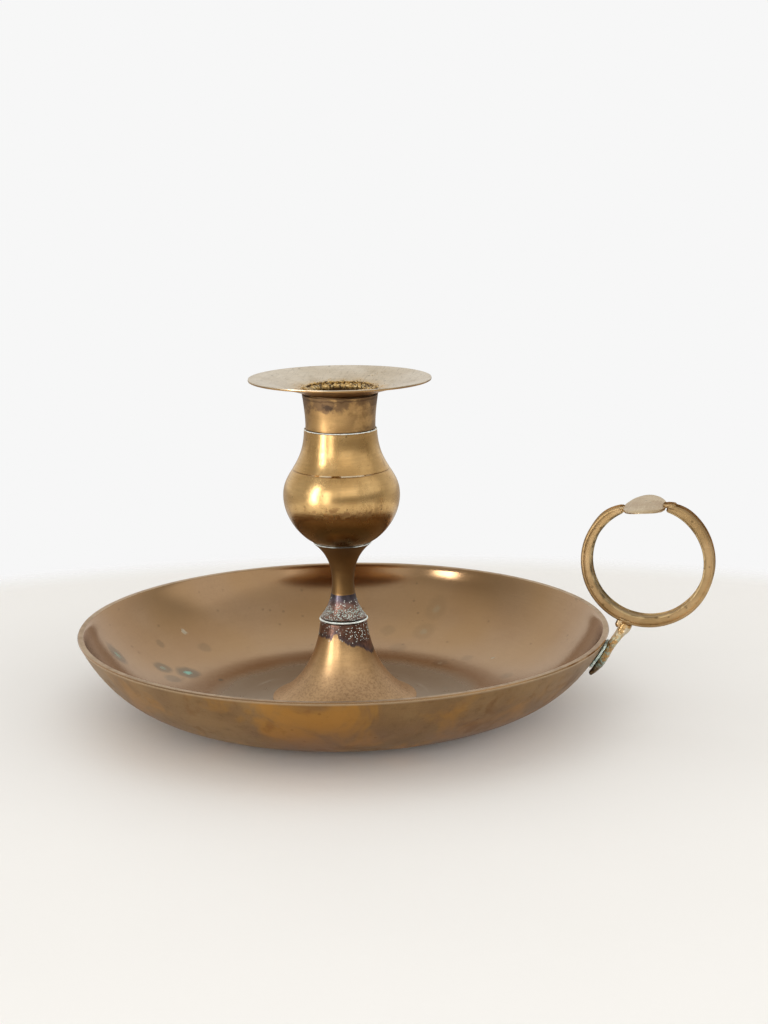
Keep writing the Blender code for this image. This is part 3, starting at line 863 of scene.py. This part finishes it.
def tongue_brass():
    s = Shader("tongue_brass")
    colour, mottle, height = brushed(s, s.z, tone(212, 174, 118), tone(176, 138, 88), 0.5, 110.0)
    tip = s.ease(s.z, 0.0222, 0.0186)
    colour = s.mix(s.times(tip, 0.75), colour, tone(84, 72, 60))
    flank = s.ease(s.y, -0.0019, -0.0027)
    green = s.times(flank, s.ease(s.noise(620, 4.0, 0.65), 0.44, 0.60), s.ease(s.z, 0.0310, 0.0280), 0.7)
    tin = s.times(s.ease(s.z, 0.0276, 0.0300), s.ease(s.noise(520, 4.0, 0.6), 0.40, 0.56))
    colour = s.mix(s.times(tin, 0.75), colour, tone(214, 206, 184))
    colour = s.mix(green, colour, tone(150, 180, 170))
    roughness = s.add(0.30, s.times(mottle, 0.16), s.times(green, 0.35), s.times(tin, 0.12))
    height = s.add(height, s.times(green, 2.0), s.times(tin, 1.2))
    return s.finish(colour, roughness, s.less(s.times(green, 0.9)), s.grit(0.00002, height))


def braze_pale():
    s = Shader("braze_pale")
    lump = s.noise(800, 4.0, 0.62)
    colour = s.mix(s.ease(lump, 0.38, 0.62), tone(230, 208, 168), tone(190, 158, 112))
    colour = s.mix(s.pits(900, 0.34, 0.12), colour, tone(110, 86, 56))
    return s.finish(colour, s.add(0.30, s.times(lump, 0.2)), 1.0, s.grit(0.00003, lump))


def solder_grey():
    s = Shader("solder_grey")
    lump = s.noise(900, 4.0, 0.65)
    colour = s.mix(s.ease(lump, 0.38, 0.62), tone(226, 234, 228), tone(176, 202, 194))
    colour = s.mix(s.times(s.ease(s.noise(340, 3.0), 0.54, 0.68), 0.6), colour, VERDIGRIS)
    return s.finish(colour, s.add(0.5, s.times(lump, 0.3)), 0.05, s.grit(0.00004, lump))


def chalk_line():
    s = Shader("chalk_line")
    lump = s.noise(1500, 4.0, 0.6)
    colour = s.mix(s.ease(lump, 0.35, 0.65), tone(240, 243, 238), tone(204, 214, 208))
    return s.finish(colour, s.add(0.55, s.times(lump, 0.3)), 0.0, s.grit(0.00003, lump))


def crumb_green():
    s = Shader("crumb_green")
    lump = s.noise(1200, 4.0, 0.65)
    colour = s.mix(s.ease(lump, 0.36, 0.62), tone(220, 228, 220), tone(146, 178, 168))
    return s.finish(colour, s.add(0.7, s.times(lump, 0.25)), 0.0, s.grit(0.00004, lump))


def wax_crumbs():
    s = Shader("wax_crumbs")
    lump = s.noise(620, 4.0, 0.7)
    colour = s.mix(s.ease(lump, 0.40, 0.56), tone(78, 58, 34), tone(202, 164, 98))
    colour = s.mix(s.times(s.ease(s.noise(1500, 3.0), 0.52, 0.62), 0.85), colour, tone(232, 206, 150))
    return s.finish(colour, s.add(0.22, s.times(lump, 0.3)), 0.45, s.grit(0.00006, lump))


def bolt_metal():
    s = Shader("bolt_metal")
    worn = s.noise(700, 4.0, 0.6)
    colour = s.mix(s.ease(worn, 0.4, 0.6), tone(150, 142, 128), tone(92, 78, 62))
    return s.finish(colour, s.add(0.35, s.times(worn, 0.25)), 1.0, s.grit(0.00003, worn))


# ---------------------------------------------------------------- pieces

def dish_zone(centre, normal):
    """0 inside, 1 outside, 2 on the lip."""
    if centre.xy.length > LIP_INNER_R and normal.z > 0.80 and centre.z > LIP_LOW_Z:
        return 2
    return 0 if normal.z > 0 else 1


def build_dish():
    dish = from_node("dish", 252, DISH_STEP, 0.00022, 1.0)
    paint(dish, dish_inside(), dish_outside(), dish_lip(), choose=dish_zone)
    keep(dish, STAND, "dish_brass", "dish")


def build_column():
    brass = column("turned_brass_fine", tone(200, 162, 114), tone(164, 129, 88))
    for node, sides in (("foot", 192), ("stem", 160)):
        keep(paint(from_node(node, sides), brass), STAND, "turned_brass", node)
    keep(paint(from_node("candle_cup", 224), cup_brass()), STAND, "cup_brass", "candle_cup")


def build_seams():
    """Solder at the stem's foot and the fine pale residue caught in the column's seams."""
    chalk = chalk_line()
    solder = crust_ring("stem_solder_fine", SOLDER_R, SEAM_Z, 0.00034, 3.0, 2.0, sides=300)
    keep(paint(solder, chalk), STAND, "soft_solder", "stem_solder")
    cup_seam = crust_ring("cup_seam_residue", CUP_SEAM_R, CUP_SEAM_Z - 0.0001, 0.00017, 6.0, 4.0, 0.30)
    keep(paint(cup_seam, chalk), STAND, "soft_solder")
    mouth = crust_ring("mouth_seam_residue", MOUTH_SEAM_R, MOUTH_SEAM_Z - 0.0001, 0.00020, 8.0, 7.0, 0.28)
    keep(paint(mouth, chalk), STAND, "soft_solder")


def column_crumbs(seed):
    """Places of the larger crumbs of verdigris on the stem's skirt and the top of the foot."""
    rng = random.Random(seed)
    stem_line, _ = outline("stem")
    foot_line, _ = outline("foot")
    for _ in range(420):
        angle = rng.uniform(0, math.tau)
        z = 0.0309 + abs(rng.gauss(0, 0.0022))
        if rng.random() < 0.16:
            z = rng.uniform(0.0250, 0.0292)
        if z > 0.0378:
            continue
        line = stem_line if z > SEAM_Z else foot_line
        radius = farthest(line, z, 0)
        way = Vector((math.cos(angle), math.sin(angle), 0.25)).normalized()
        size = rng.uniform(0.00007, 0.00017)
        place = Vector((radius * math.cos(angle), radius * math.sin(angle), z))
        yield place, way, size


def farthest(line, level, across):
    """Largest radius of a closed outline at a height (across 0), or greatest height at a radius (1)."""
    along = 1 - across
    best = 0.0
    for a, b in zip(line, line[1:] + line[:1]):
        if min(a[along], b[along]) <= level <= max(a[along], b[along]) and abs(b[along] - a[along]) > 1e-7:
            step = (b[across] - a[across]) * (level - a[along]) / (b[along] - a[along])
            best = max(best, a[across] + step)
    return best


def build_crumbs():
    keep(paint(specks("verdigris_crumbs", column_crumbs(5)), crumb_green()), STAND, "soft_solder")


def build_nozzle():
    keep(paint(from_node("nozzle_collar", 192), collar_brass()), NOZZLE, "cup_brass", "nozzle_collar")
    pan = from_node("drip_pan", 256, FINE_STEP, 0.00016, 6.0)
    paint(pan, pan_top(), pan_under(), choose=lambda centre, normal: 0 if normal.z > 0.2 else 1)
    keep(pan, NOZZLE, "pan_brass", "drip_pan")
    wax = wax_crumbs()
    skirt = crust_ring("wax_skirt", 0.0132, MOUTH_Z - 0.0012, 0.00055, 15.0, 3.0, 0.22, lean=0.0002)
    keep(paint(skirt, wax), NOZZLE, "pan_brass")
    crown = crust_ring("wax_crown", 0.0121, MOUTH_Z - 0.0003, 0.00046, 17.0, 12.0, 0.32, lean=0.0003)
    keep(paint(crown, wax), NOZZLE, "pan_brass")
    lining = crust_ring("wax_lining", 0.0113, MOUTH_Z - 0.0016, 0.00110, 13.0, 21.0, 0.10, lean=0.0005)
    keep(paint(lining, wax), NOZZLE, "pan_brass")
    keep(paint(specks("wax_crumb_bits", pan_crumbs(8)), wax), NOZZLE, "pan_brass")


def pan_crumbs(seed):
    """Crumbs of old wax and soot: round the turned-over mouth, on its edge, and one short trail."""
    rng = random.Random(seed)
    top, _ = outline("drip_pan")
    up = Vector((0, 0, 1))
    for _ in range(190):
        angle = rng.uniform(0, math.tau)
        radius = 0.0128 + abs(rng.gauss(0, 0.0019))
        if radius < 0.0205:
            place = Vector((radius * math.cos(angle), radius * math.sin(angle), farthest(top, radius, 1)))
            yield place, up, rng.uniform(0.00008, 0.00030)
    for _ in range(130):
        angle = rng.uniform(0, math.tau)
        radius = rng.uniform(0.0108, 0.0124)
        place = Vector((radius * math.cos(angle), radius * math.sin(angle), MOUTH_Z - rng.uniform(0, 0.0004)))
        yield place, up, rng.uniform(0.00012, 0.00042)
    for _ in range(26):
        place = Vector(TRAIL_START).lerp(Vector(TRAIL_END), rng.random())
        place += Vector((rng.gauss(0, 0.0004), rng.gauss(0, 0.0004), 0))
        place.z = farthest(top, place.xy.length, 1)
        yield place, up, rng.uniform(0.00008, 0.00020)


def build_handle():
    brass = ring_brass()
    pale = braze_pale()
    keep(paint(fine_ring(), brass), STAND, "ring_brass", "handle_ring")
    keep(paint(fine_thumb_rest(), rest_brass()), STAND, "rest_brass", "thumb_rest")
    tongue = softened("handle_bracket", 0.00012, 3.0, 0.00040)
    keep(paint(tongue, tongue_brass()), STAND, "ring_brass", "handle_bracket")
    bead = softened("handle_solder", 0.00022, 8.0, 0.00042)
    keep(paint(bead, solder_grey()), STAND, "soft_solder", "handle_solder")
    right = braze("shoulder_braze_right", (math.radians(13.6), math.radians(25.0)),
                  (0.0192, 0.0196), (0.0202, 0.0215), (0.0022, 0.0029), 1.0)
    keep(paint(right, brass), STAND, "ring_brass")
    left = braze("shoulder_braze_left", (math.radians(-27.4), math.radians(-23.2)),
                 (0.0182, 0.0185), (0.0206, 0.0198), (0.0030, 0.0024), 5.0)
    keep(paint(left, pale), STAND, "ring_brass")
    foot = braze("ring_foot_braze", (math.radians(193.0), math.radians(206.0)),
                 (0.0206, 0.0206), (0.0233, 0.0242), (0.0027, 0.0030), 9.0)
    keep(paint(foot, pale), STAND, "ring_brass")


def build_bolt():
    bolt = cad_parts["centre_bolt"]
    metal = bolt_metal()
    for slot in bolt.material_slots:
        slot.material = metal


# ---------------------------------------------------------------- stage

def build_floor():
    """A plain pale round table top whose edge melts into the white behind it."""
    bm = bmesh.new()
    bmesh.ops.create_circle(bm, cap_ends=True, segments=128, radius=FLOOR_R)
    floor = solid("pale_floor", bm)
    floor.location = TO_CAMERA * FLOOR_SHIFT + Vector((0, 0, -FLOOR_DROP))
    s = Shader("pale_floor")
    tint = s.mix(s.noise(9, 3.0), tone(236, 234, 231), tone(241, 239, 236))
    s.finish(tint, 0.6, 0.0, s.grit(0.0001, s.noise(160, 3.0)))
    clear = s.node("ShaderNodeBsdfTransparent")
    fade = s.node("ShaderNodeMixShader")
    out = s.tree.nodes["Material Output"]
    s.feed(fade.inputs[0], s.ease(s.r, FLOOR_R - FLOOR_FADE, FLOOR_R - 0.002))
    s.tree.links.new(s.bsdf.outputs[0], fade.inputs[1])
    s.tree.links.new(clear.outputs[0], fade.inputs[2])
    s.tree.links.new(fade.outputs[0], out.inputs["Surface"])
    floor.data.materials.append(s.mat)


class World(Shader):
    """The same helper on the world's node tree, where the place is the direction looked in."""

    def __init__(self):
        world = bpy.data.worlds.new("studio")
        bpy.context.scene.world = world
        world.use_nodes = True
        self.tree = world.node_tree
        self.sky = self.tree.nodes["Background"]
        self.measure(self.node("ShaderNodeTexCoord").outputs["Generated"])


def build_world():
    """White where the camera looks; in reflections a bright wall behind and a dimmer room in front."""
    w = World()
    behind = w.ease(w.vector("DOT_PRODUCT", w.place, tuple(-TO_CAMERA)), -0.25, 0.85)
    left = w.ease(w.vector("DOT_PRODUCT", w.place, tuple(TO_LEFT)), -0.6, 0.8)
    ahead = w.ease(w.vector("DOT_PRODUCT", w.way, tuple(BRIGHT_WALL)), 0.25, 0.55)
    room = w.mix(left, tone(150, 145, 137), tone(172, 168, 161))
    wall = w.times(ahead, w.ease(w.z, 0.17, 0.30), w.ease(w.z, 0.86, 0.70))
    room = w.mix(w.ease(w.z, 0.60, 0.85), room, tone(210, 207, 202))
    room = w.mix(wall, room, tone(243, 241, 237))
    room = w.mix(behind, room, tone(242, 242, 240))
    room = w.mix(w.ease(w.z, 0.01, -0.06), room, tone(192, 188, 182))
    white = (BACKDROP_WHITE, BACKDROP_WHITE, BACKDROP_WHITE, 1.0)
    seen = w.node("ShaderNodeLightPath").outputs["Is Camera Ray"]
    w.feed(w.sky.inputs["Color"], w.mix(seen, room, white))


def window(name, left_degrees, width_degrees, low_degrees, high_degrees, radiance):
    """A tall bright panel standing round the object, left of the camera's direction; metal mirrors it."""
    turn = math.radians(left_degrees)
    way = TO_CAMERA * math.cos(turn) + TO_LEFT * math.sin(turn)
    low = WINDOW_AWAY * math.tan(math.radians(low_degrees))
    high = WINDOW_AWAY * math.tan(math.radians(high_degrees))
    lamp = panel(name, 2 * WINDOW_AWAY * math.tan(math.radians(width_degrees / 2)), high - low, radiance)
    lamp.location = way * WINDOW_AWAY + Vector((0, 0, (low + high) / 2))
    lamp.rotation_euler = way.to_track_quat("Z", "Y").to_euler()
    lamp.visible_diffuse = False


def panel(name, width, height, radiance):
    """A rectangular area light of a given brightness, unseen by the camera."""
    data = bpy.data.lights.new(name, "AREA")
    data.shape = "RECTANGLE"
    data.size = width
    data.size_y = height
    data.energy = radiance * math.pi * width * height
    lamp = bpy.data.objects.new(name, data)
    lamp.visible_camera = False
    bpy.context.scene.collection.objects.link(lamp)
    return lamp


def build_lights():
    window("window_left", 55, 11, -8, 37, 9.5)
    window("window_middle", 30, 12, -8, 30, 3.2)
    window("window_right", -14, 36, 19, 43, 0.40)
    soft_fill("softbox_above", TO_CAMERA * 0.30 + TO_LEFT * 0.15 + Vector((0, 0, 1.2)), 1.5, 1.5, 0.30)
    soft_fill("fill_front", TO_CAMERA * FILL_AWAY + FILL_UP, 2.6, 0.6, 2.5)
    soft_fill("fill_left", TO_LEFT * FILL_AWAY + FILL_UP, 1.6, 0.6, 1.8)
    soft_fill("fill_right", TO_LEFT * -FILL_AWAY + FILL_UP, 1.6, 0.6, 1.8)


def soft_fill(name, place, width, height, radiance):
    """A large soft light that brightens the table and the matt residues but isn't mirrored in the metal."""
    lamp = panel(name, width, height, radiance)
    lamp.location = place
    lamp.rotation_euler = place.to_track_quat("Z", "Y").to_euler()
    lamp.visible_glossy = False


def build_camera():
    data = bpy.data.cameras.new("camera")
    data.lens = CAMERA_LENS
    data.sensor_width = 36.0
    camera = bpy.data.objects.new("camera", data)
    camera.location = CAMERA_AT
    camera.rotation_euler = [math.radians(a) for a in CAMERA_TURN]
    bpy.context.scene.collection.objects.link(camera)
    bpy.context.scene.camera = camera


build_camera()
build_dish()
build_column()
build_seams()
build_crumbs()
build_nozzle()
build_handle()
build_bolt()
build_floor()
build_world()
build_lights()
bpy.context.scene.view_settings.view_transform = "Standard"
